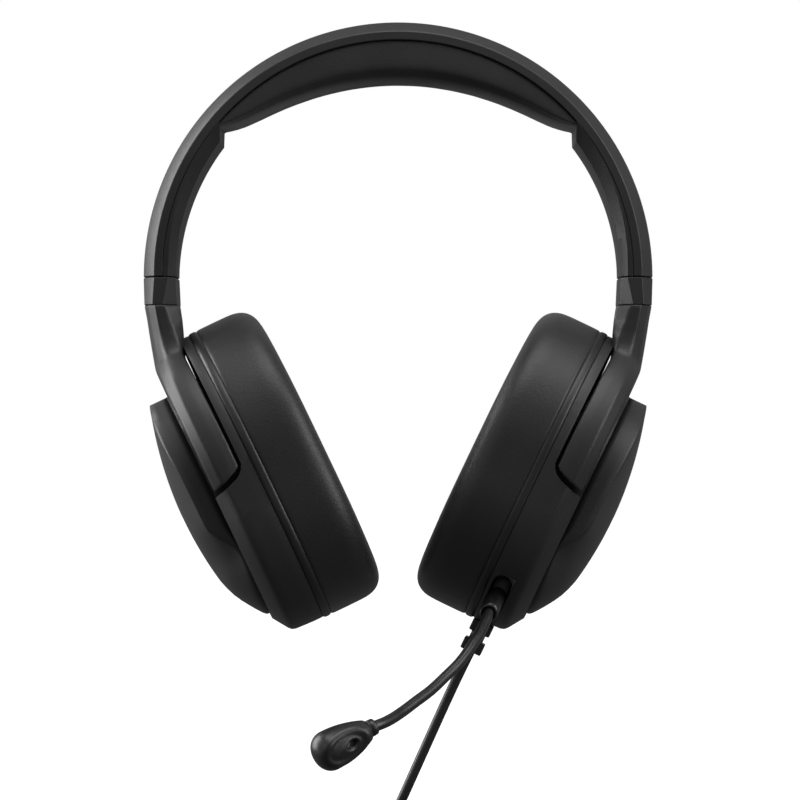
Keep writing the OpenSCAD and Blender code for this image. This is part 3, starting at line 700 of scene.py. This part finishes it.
def applied(mesh, *modifiers):
    """The mesh after modifiers, each given as its kind and its settings."""
    maker = bpy.data.objects.new("maker", mesh)
    scene.collection.objects.link(maker)
    if "join" in mesh.attributes:
        group = maker.vertex_groups.new(name="join")
        for i, row in enumerate(mesh.attributes["join"].data):
            group.add([i], row.value, "REPLACE")
    for kind, settings in modifiers:
        modifier = maker.modifiers.new(kind, kind)
        for name, value in settings.items():
            setattr(modifier, name, value)
    depsgraph = bpy.context.evaluated_depsgraph_get()
    result = bpy.data.meshes.new_from_object(maker.evaluated_get(depsgraph))
    bpy.data.objects.remove(maker)
    return result


def merge_smoothly(name, meshes, voxel_mm, join_weight):
    """One closed skin over overlapping closed meshes, with soft edges and a softer join."""
    joined = bmesh.new()
    for mesh in meshes:
        joined.from_mesh(mesh)
    mesh = bpy.data.meshes.new(name)
    joined.to_mesh(mesh)
    joined.free()
    remesh = ("REMESH", {"mode": "VOXEL", "voxel_size": voxel_mm * MM})
    skin = applied(mesh, remesh, ("SMOOTH", {"factor": 0.5, "iterations": 4}))
    weights = skin.attributes.new("join", "FLOAT", "POINT")
    for vertex, row in zip(skin.vertices, weights.data):
        row.value = join_weight(vertex.co)
    skin = applied(skin, ("SMOOTH", {"factor": 0.5, "iterations": 60, "vertex_group": "join"}))
    skin.attributes.remove(skin.attributes["join"])
    skin.name = name
    skin.shade_smooth()
    return skin


# Where the stem runs into the horseshoe, up the cup and towards the head
JOIN_AT = (46.5, -1.5)


def make_yoke(side):
    """The arm's stem and the horseshoe that holds the cup, moulded as one."""
    name = f"{side}_fork"
    toe_in = math.atan2(-CUP.col[2].y, -CUP.col[2].x)
    to_arm = Matrix.Translation((ARM_X, 0, 0))
    about_arm = to_arm @ Matrix.Rotation(toe_in, 4, "Z") @ to_arm.inverted()
    stem = [arm_ring(*level) for level in STEM_LEVELS]
    parts = [
        new_mesh("stem", side_frame(side, WORLD_MM @ about_arm), *loft(stem)),
        new_mesh("horseshoe", side_frame(side, CUP), *horseshoe()),
    ]
    to_cup = side_frame(side, CUP).inverted()

    def join_weight(point):
        x, y, z = to_cup @ point
        away = math.hypot(y - JOIN_AT[0], z - JOIN_AT[1])
        return (1 - smoothstep(away, 4, 11)) * (1 - smoothstep(abs(x), 25, 31))

    skin = merge_smoothly(name, parts, 0.5, join_weight)
    add_piece(name, skin, "arm_plastic", f"{side}_yoke", f"{side}_yoke")


# Cups -----------------------------------------------------------------------------------------

DRUM_R = 30.5
DRUM_TOP_Y = 35.2
DRUM_BOTTOM_Y = -41.5
COVER_BACK_Z = -7.0
COVER_RIDGE = 6.3
COVER_PEAK = 11.9
COVER_WALL = 2.0


def drum_outline(share, inset):
    """A point on the drum's outline, all the way round: two half circles and straight flanks."""
    turn = 2 * math.pi * share
    radius = DRUM_R - inset
    top, bottom = DRUM_TOP_Y - 30.6, DRUM_BOTTOM_Y + 30.6
    x, y = radius * math.cos(turn), radius * math.sin(turn)
    return x, y + (top - bottom) / 2 * math.tanh(6 * math.sin(turn)) + (top + bottom) / 2


def crest(y):
    """The cover's height along its middle: a long arch that drops away at the bottom end."""
    arch = COVER_PEAK - (y + 3) ** 2 / 242
    return arch - 2.2 * smoothstep(-y, 24, 42)


def ridge(y):
    """The height of the cover's side wall: constant, then curving down to nothing below the tip."""
    return COVER_RIDGE * (1 - smoothstep(-y, 6, 21)) + 0.5


def cover_height(x, y, inset):
    """The cover's height over the cup's back at a point, inset from its edge."""
    side = min(abs(x) / DRUM_R, 1) ** 2
    height = crest(y) + (ridge(y) - crest(y)) * side
    low = smoothstep(-y, 8, 24)
    width = 0.9 + 10 * low
    share = min(inset / width, 1)
    edge = min(ridge(y), height) * (1 - low) + 0.4 * low
    return edge + (height - edge) * math.sqrt(1 - (1 - share) ** 2)


def make_cover(side):
    """The outer cover: a long dome with upright flanks that taper off towards the bottom."""
    around = [k / 180 for k in range(180)]
    insets = [0, 0.12, 0.35, 0.7, 1.1, 1.7, 2.6, 3.8, 5.4, 7.5, 10, 13, 16, 19, 22, 25, 28, 30.2]
    rings = []
    for inset in insets:
        outline = [drum_outline(share, inset) for share in around]
        rings.append([(x, y, COVER_BACK_Z - cover_height(x, y, inset)) for x, y in outline])
    walls = []
    for depth in (0, 0.33, 0.67):
        outline = [drum_outline(share, 0) for share in around]
        walls.append([(x, y, COVER_BACK_Z - cover_height(x, y, 0) * depth) for x, y in outline])
    hollow = []
    for inset in (2, 5, 10, 16, 22, 28, 30.2):
        outline = [drum_outline(share, inset) for share in around]
        heights = [COVER_WALL - cover_height(x, y, inset) for x, y in outline]
        hollow.append([(x, y, COVER_BACK_Z + min(height, 0)) for (x, y), height in zip(outline, heights)])
    inner_edge = [[(*drum_outline(share, COVER_WALL), COVER_BACK_Z) for share in around]]
    points, faces = loft([*reversed(hollow), *inner_edge, *walls, *rings])
    name = f"{side}_cover"
    mesh = new_mesh(name, side_frame(side, CUP), points, faces)
    add_piece(name, mesh, "cover_plastic", f"{side}_cup", f"{side}_outer_cover")


DRIVER_CLOTH_Z = 11.4
EAR_OPENING_R = 22.4
CLOTH_SIDES = 96
CLOTH_TUCK = 1.5


def make_driver_cloth(side):
    """The acoustic cloth stretched over the driver inside the ear cushion, slightly domed."""
    edge_r = EAR_OPENING_R + CLOTH_TUCK
    rings = []
    for z in (DRIVER_CLOTH_Z - 0.5, DRIVER_CLOTH_Z):
        rings.append([oval_ring(edge_r, k / CLOTH_SIDES, z) for k in range(CLOTH_SIDES)])
    for inset in spread(CLOTH_TUCK, EAR_OPENING_R + 1.4, 16):
        share = inset / edge_r
        height = DRIVER_CLOTH_Z + 1.6 * (1 - (1 - share) ** 2)
        ring = []
        for k in range(CLOTH_SIDES):
            x, y, _ = oval_ring(edge_r, k / CLOTH_SIDES, 0)
            ring.append((x * (1 - share), y * (1 - share), height))
        rings.append(ring)
    name = f"{side}_driver_cloth"
    mesh = new_mesh(name, side_frame(side, CUP), *loft(rings))
    add_piece(name, mesh, "grille_fabric", f"{side}_cup")


EAR_STATIONS = 132
EAR_SIDES = 40
EAR_MIDDLE_R = 32.4
EAR_HALF_WIDE = 10.0
EAR_BASE_Z = 10.35
EAR_TOP_Z = 30.4


def oval_ring(radius, share, z):
    """A point all the way round the cup's oval, at even steps along it."""
    arc = math.pi * EAR_MIDDLE_R
    length = 2 * arc + 4 * SPINE
    along = share * length
    for end in (1, -1):
        if along < arc:
            angle = along / EAR_MIDDLE_R
            return (end * radius * math.cos(angle), end * (SPINE + radius * math.sin(angle)), z)
        along -= arc
        if along < 2 * SPINE:
            return (-end * radius, end * (SPINE - along), z)
        along -= 2 * SPINE
    return (radius, -SPINE, z)


def ear_cushion_mesh():
    """The ear cushion before it is filled: a ring with a flat base and a round top."""
    middle_z = (EAR_BASE_Z + EAR_TOP_Z) / 2
    half_high = (EAR_TOP_Z - EAR_BASE_Z) / 2
    rings = []
    for k in range(EAR_STATIONS):
        ring = []
        for j in range(EAR_SIDES):
            turn = 2 * math.pi * j / EAR_SIDES
            power = 2.8
            if math.sin(turn) < 0:
                power = 5.0 + 13.0 * smoothstep(math.cos(turn), -0.2, 0.4)
            out, up = rounded_box_point(turn, EAR_HALF_WIDE, half_high, power)
            ring.append(oval_ring(EAR_MIDDLE_R + out, k / EAR_STATIONS, middle_z + up))
        rings.append(ring)
    return new_mesh("ear_cushion", CUP, *loft(rings, closed=True))


def evened(moves, mesh, rounds):
    """The moves averaged along the mesh's edges, so that the filling leaves no kinks."""
    ends = np.array([edge.vertices[:] for edge in mesh.edges])
    near = np.bincount(ends.ravel(), minlength=len(moves))[:, None]
    for _ in range(rounds):
        total = np.zeros_like(moves)
        np.add.at(total, ends[:, 0], moves[ends[:, 1]])
        np.add.at(total, ends[:, 1], moves[ends[:, 0]])
        moves = total / near
    return moves


def fill_with_foam(piece, pinned, pressure, cap_mm, rounds):
    """Puffs a cushion up by cloth simulation; no point moves further than the cap."""
    start = np.array([vertex.co for vertex in piece.data.vertices])
    group = piece.vertex_groups.new(name="pinned")
    group.add(pinned, 1.0, "REPLACE")
    cloth = piece.modifiers.new("filling", "CLOTH")
    cloth.settings.use_pressure = True
    cloth.settings.uniform_pressure_force = pressure
    cloth.settings.effector_weights.gravity = 0
    cloth.settings.vertex_group_mass = "pinned"
    cloth.settings.tension_stiffness = 30
    cloth.settings.compression_stiffness = 30
    for step in range(1, 21):
        scene.frame_set(step)
    depsgraph = bpy.context.evaluated_depsgraph_get()
    filled = np.array([vertex.co for vertex in piece.evaluated_get(depsgraph).data.vertices])
    piece.modifiers.remove(cloth)
    scene.frame_set(1)
    moves = filled - start
    lengths = np.linalg.norm(moves, axis=1, keepdims=True)
    moves *= np.minimum(1, cap_mm * MM / np.maximum(lengths, 1e-9))
    for vertex, place in zip(piece.data.vertices, start + evened(moves, piece.data, rounds)):
        vertex.co = place


def press_seams(piece, stations, sides, seams, depth_mm, pucker_mm):
    """Draws the skin in along sewn seams, with small puckers beside them."""
    mesh = piece.data
    normals = [vertex.normal.copy() for vertex in mesh.vertices]
    for k in range(stations):
        for j in range(sides):
            nearest = min(abs(j - seam) for seam in seams)
            drawn = depth_mm * math.exp(-((nearest / 0.75) ** 2))
            folds = noise.noise(Vector((k * 0.9, nearest * 0.15, 3.7)))
            puckers = pucker_mm * folds * math.exp(-nearest / 2.5)
            index = k * sides + j
            mesh.vertices[index].co -= normals[index] * (drawn + puckers) * MM


def make_ear_cushions():
    """Foam rings in leatherette, sewn along the inner edge."""
    mesh = ear_cushion_mesh()
    left = add_piece("left_ear_pad", mesh, "cushion_leatherette", "left_cup", "left_ear_cushion")
    step = 2 * math.pi / EAR_SIDES
    base = [i for i in range(len(mesh.vertices)) if math.sin(step * (i % EAR_SIDES)) < -0.75]
    fill_with_foam(left, base, 4.0, 1.3, 12)
    press_seams(left, EAR_STATIONS, EAR_SIDES, (15,), 0.5, 0.2)
    copy = left.data.copy()
    copy.transform(MIRROR)
    copy.flip_normals()
    right = add_piece("right_ear_pad", copy, "cushion_leatherette", "right_cup", "right_ear_cushion")
    for pad in (left, right):
        pad.vertex_groups.clear()
        pad.modifiers.new("smooth_skin", "SUBSURF").render_levels = 1


PAD_STATIONS = 110
PAD_SIDES = 36
PAD_UNDER_R = 92.8
PAD_OUTER_R = 74.3
PAD_HALF = 18.35
PAD_FLOOR_Z = -14.9


def pad_inner_radius(angle):
    """How far the cushion's underside is from the band's centre: one long arc, levelling off at the ends."""
    lift = -BAND_Z - PAD_UNDER_R
    arc = lift * math.sin(angle) + math.sqrt(PAD_UNDER_R**2 - (lift * math.cos(angle)) ** 2)
    floor = (PAD_FLOOR_Z - BAND_Z) / math.sin(angle)
    soft = 2.5
    return soft * math.log(math.exp(arc / soft) + math.exp(floor / soft))


def headband_pad_mesh():
    end = math.asin((PAD_FLOOR_Z - BAND_Z) / PAD_OUTER_R) + 0.018
    rings = []
    for k in range(PAD_STATIONS):
        angle = end + (math.pi - 2 * end) * (0.5 - 0.5 * math.cos(math.pi * k / (PAD_STATIONS - 1)))
        inner = min(pad_inner_radius(angle) + 0.6, PAD_OUTER_R - 0.9)
        middle, half_thick = (PAD_OUTER_R + inner) / 2, (PAD_OUTER_R - inner) / 2
        ring = []
        for j in range(PAD_SIDES):
            turn = 2 * math.pi * j / PAD_SIDES
            power = 22.0 if math.sin(turn) > 0 else 3.4
            y, up = rounded_box_point(turn, PAD_HALF, half_thick, power)
            ring.append(band_point(middle + up, angle, y))
        rings.append(ring)
    return new_mesh("headband_pad", WORLD_MM, *loft(rings))


def make_headband_pad():
    """The head cushion, sewn along both lower edges."""
    mesh = headband_pad_mesh()
    pad = add_piece("headband_pad", mesh, "headband_leatherette", "headband", "headband_cushion")
    backed = [
        i for i in range(len(mesh.vertices)) if math.sin(2 * math.pi * (i % PAD_SIDES) / PAD_SIDES) > 0.2
    ]
    fill_with_foam(pad, backed, 4.0, 1.2, 150)
    press_seams(pad, PAD_STATIONS, PAD_SIDES, (21, 33), 0.35, 0.15)
    pad.vertex_groups.clear()
    pad.modifiers.new("smooth_skin", "SUBSURF").render_levels = 1


# Microphone -----------------------------------------------------------------------------------

HUB_AT = Vector((22.5, -34.5, 3.4))
BOOM_DROP = math.radians(42)
ROOT_LENGTH = 16
ROOT_R = 2.8
BOOM_R = 1.7
MIC_NECK = Vector((87, -87, 19.4))
MIC_TIP = Vector((93, -97.6, 27.4))
# The boom's bend beyond its stiff root, in the cup's frame
BOOM_ROUTE = [
    (40, -50, 3), (46, -55, 3.5), (52, -60.5, 4.5), (58, -66, 6.5), (64, -71, 8.5), (70, -75.5, 11),
    (76, -80, 13.5), (82, -83.5, 16), (86, -86, 18.5),
]


def across(direction):
    """Two unit vectors square to a direction and to each other."""
    first = direction.cross(Vector((0, 0, 1))).normalized()
    return first, first.cross(direction).normalized()


def turned_rings(start, direction, profile, sides):
    """Rings of a turned shape: how far along each is, and its radius."""
    u, v = across(direction)
    rings = []
    for along, radius in profile:
        centre = start + direction * along
        turns = [2 * math.pi * i / sides for i in range(sides)]
        rings.append([centre + (u * math.cos(a) + v * math.sin(a)) * radius for a in turns])
    return rings


def make_mic_root():
    """The hub and the stiff sleeve on it, open at a slant where the boom comes out."""
    direction = Vector((math.cos(BOOM_DROP), -math.sin(BOOM_DROP), 0))
    profile = [
        (0, 2.2), (1, 2.75), (6, ROOT_R), (14.6, ROOT_R), (ROOT_LENGTH - 0.5, ROOT_R),
        (ROOT_LENGTH, ROOT_R - 0.3), (ROOT_LENGTH, 2.15), (ROOT_LENGTH - 0.4, 1.95), (ROOT_LENGTH - 4, 1.9),
    ]
    rings = turned_rings(HUB_AT, direction, profile, 40)
    for (along, _), ring in zip(profile, rings):
        if along > 14:
            for i, point in enumerate(ring):
                lean = math.cos(2 * math.pi * i / 40) * 1.1
                ring[i] = point + direction * (lean - 0.8)
    sleeve = new_mesh("mic_sleeve", CUP, *loft(rings))
    add_piece("mic_sleeve", sleeve, "boom_rubber", "microphone", "mic_hub")
    hub_profile = [(-2.85, 4.9), (-2.6, 5.6), (-2.2, 5.95), (2.2, 5.95), (2.6, 5.6), (2.85, 4.9)]
    turns = [2 * math.pi * i / 48 for i in range(48)]
    hub_rings = [
        [HUB_AT + Vector((r * math.cos(a), r * math.sin(a), z)) for a in turns] for z, r in hub_profile
    ]
    hub = new_mesh("mic_turning_hub", CUP, *loft(hub_rings))
    add_piece("mic_turning_hub", hub, "wheel_rubber", "microphone")


SLOT_HALF = 3.15
SLOT_TOP = 3.25
SLOT_SLOPE = math.tan(math.radians(-2))


def make_slot_lip():
    """The moulded lip that rounds off the top of the boom's slot, flush with the cup's side."""
    turns = [math.pi * i / 24 for i in range(25)]
    arch = [(SLOT_HALF * math.cos(a), SLOT_HALF * math.sin(a)) for a in turns]
    half, top = SLOT_HALF + 0.1, SLOT_TOP + 0.1
    outline = [*arch, (-half, 0), (-half, top), (half, top), (half, 0)]
    rings = []
    for deep in (8, 4, 0.6, 0.1):
        ring = []
        for across_slot, up in outline:
            y = HUB_AT.y + up + SLOT_SLOPE * 11
            surface = math.sqrt(RIM_R**2 - (y + SPINE) ** 2)
            ring.append((surface - deep, y, HUB_AT.z + across_slot))
        rings.append(ring)
    mesh = new_mesh("mic_slot_lip", CUP, *loft(rings))
    add_piece("mic_slot_lip", mesh, "cup_plastic", "left_cup")


def make_boom():
    root = HUB_AT + Vector((math.cos(BOOM_DROP), -math.sin(BOOM_DROP), 0)) * (ROOT_LENGTH - 3.5)
    points = [CUP @ root, *[CUP @ Vector(p) for p in BOOM_ROUTE], CUP @ (MIC_NECK + Vector((1, -1, 1)))]
    boom = smooth_curve("mic_gooseneck", points, BOOM_R * MM, MATERIALS["boom_rubber"])
    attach(boom, "microphone")
    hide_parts("mic_boom")


BODY_SIDES = 72
BODY_R = 6.2
# How far the dished face is rolled downwards from straight ahead
BODY_ROLL = math.radians(22)
BODY_DISH = (7.6, 4.5)
BODY_HOLE = (2.5, 2.0)
DISH_DEPTH = 0.9
HOLE_DEPTH = 2.2


def mic_body_profile(length):
    """The body's radius along its axis: a collar, a flaring neck and a blunt round end."""
    profile = [(-1.7, 1.8), (-1.7, 2.3), (-1.4, 2.55), (0.1, 2.65), (0.4, 2.5), (0.55, 2.45), (0.7, 2.8)]
    profile += [(0.7 + (length - 0.7) * t, 3.0 + (BODY_R - 3.0) * math.sin(t * math.pi / 2) ** 0.8)
                for t in spread(0.04, 1, 34)]
    for t in spread(0.04, 0.99, 18):
        turn = t * math.pi / 2
        profile.append((length + BODY_R * 0.82 * math.sin(turn), BODY_R * math.cos(turn) ** 0.85))
    return profile


def make_mic_body():
    """The microphone's bean-shaped body, with a dished front that holds the port."""
    direction = (MIC_TIP - MIC_NECK).normalized()
    length = (MIC_TIP - MIC_NECK).length
    front = Vector((1, 0, 0))
    front = (front - direction * front.dot(direction)).normalized()
    front = Matrix.Rotation(-BODY_ROLL, 3, direction) @ front
    sideways = front.cross(direction)
    dish_at = length * 0.72
    hole_at = length * 0.58
    rings = []
    for along, radius in mic_body_profile(length):
        ring = []
        for i in range(BODY_SIDES):
            turn = 2 * math.pi * i / BODY_SIDES
            across_front = radius * math.sin(turn)
            reach = radius
            if math.cos(turn) > 0:
                on_dish = math.hypot((along - dish_at) / BODY_DISH[0], across_front / BODY_DISH[1])
                on_hole = math.hypot((along - hole_at) / BODY_HOLE[0], across_front / BODY_HOLE[1])
                reach -= DISH_DEPTH * (1 - smoothstep(on_dish, 0.72, 1.0))
                reach += 0.2 * math.exp(-(((on_dish - 1.08) / 0.1) ** 2))
                reach -= HOLE_DEPTH * (1 - smoothstep(on_hole, 0.45, 1.0))
            away = front * math.cos(turn) + sideways * math.sin(turn)
            ring.append(MIC_NECK + direction * along + away * reach)
        rings.append(ring)
    body = new_mesh("mic_body", CUP, *loft(rings))
    add_piece("mic_body", body, "mic_plastic", "microphone", "mic_housing")
    port = MIC_NECK + direction * hole_at + front * 2.4
    dome = [(-0.6, 1.5), (0, 1.5), (0.35, 1.2), (0.5, 0.7), (0.55, 0.05)]
    foam = new_mesh("mic_port", CUP, *loft(turned_rings(port, front, dome, 32)))
    add_piece("mic_port", foam, "mic_foam", "microphone", "mic_grille")


# Plug -----------------------------------------------------------------------------------------

PLUG_TOP = -308
PLUG_X, PLUG_Y = 0, 3.6


def make_plug():
    """A moulded plug with a ribbed grip, and the insulating bands on its pin."""
    profile = [(0, 1.7), (0, 2.3), (0.6, 2.5), (2, 2.6)]
    for rib in range(5):
        base = 2.4 + 1.5 * rib
        radius = 2.65 + 0.28 * rib
        profile += [
            (base, radius - 0.25), (base + 0.35, radius + 0.15),
            (base + 0.95, radius + 0.2), (base + 1.3, radius - 0.2),
        ]
    profile += [(10.4, 4.05), (11, 4.2), (24.6, 4.2), (25.4, 4.0), (26, 3.4), (26, 1.7)]
    top = Vector((PLUG_X, PLUG_Y, PLUG_TOP))
    down = Vector((0, 0, -1))
    rings = []
    for along, radius in profile:
        centre = top + down * along
        ring = []
        for i in range(48):
            turn = 2 * math.pi * i / 48
            grip = 0.18 * math.cos(12 * turn) * smoothstep(along, 11.5, 13)
            grip *= 1 - smoothstep(along, 23, 24.5)
            ring.append(centre + Vector((math.cos(turn), math.sin(turn), 0)) * (radius + grip))
        rings.append(ring)
    mesh = new_mesh("plug_grip", WORLD_MM, *loft(rings))
    grip = add_piece("plug_grip", mesh, "plug_rubber", "left_cup", "plug_body")
    bands = bmesh.new()
    for drop in (29.5, 32.2, 34.9):
        band = [(drop, 1.7), (drop, 1.79), (drop + 0.7, 1.79), (drop + 0.7, 1.7)]
        circle = [2 * math.pi * i / 32 for i in range(32)]
        rings = [
            [top + down * along + Vector((math.cos(a), math.sin(a), 0)) * radius for a in circle]
            for along, radius in band
        ]
        bands.from_mesh(new_mesh("band", WORLD_MM, *loft(rings, closed=True)))
    mesh = bpy.data.meshes.new("pin_bands")
    bands.to_mesh(mesh)
    bands.free()
    return [grip, add_piece("pin_bands", mesh, "plug_rubber", "left_cup")]


# Rounded edges of the moulded pieces ----------------------------------------------------------


def soften_edges(node, width_mm):
    """Rounds a node's sharp edges without touching its mesh."""
    obj = NODES[node]
    weld = obj.modifiers.new("weld", "WELD")
    weld.merge_threshold = 0.00001
    bevel = obj.modifiers.new("rounded_edges", "BEVEL")
    bevel.width = width_mm * MM
    bevel.segments = 3
    bevel.limit_method = "ANGLE"
    bevel.angle_limit = math.radians(28)
    bevel.harden_normals = True


# Assembly -------------------------------------------------------------------------------------

make_camera()
plug_pieces = make_plug()
make_cord()
finish_cad_nodes()
make_studio()
make_headband_shell()
make_headband_pad()
make_ear_cushions()
make_slot_lip()
make_mic_root()
make_boom()
make_mic_body()
for side in SIDES:
    make_liner(side)
    make_collar(side)
    make_slider_block(side)
    make_yoke(side)
    make_cover(side)
    make_driver_cloth(side)
    soften_edges(f"{side}_cup_housing", 0.5)
    soften_edges(f"{side}_cushion_ring", 0.4)
soften_edges("strain_relief", 0.5)
soften_edges("cord_tie", 0.6)
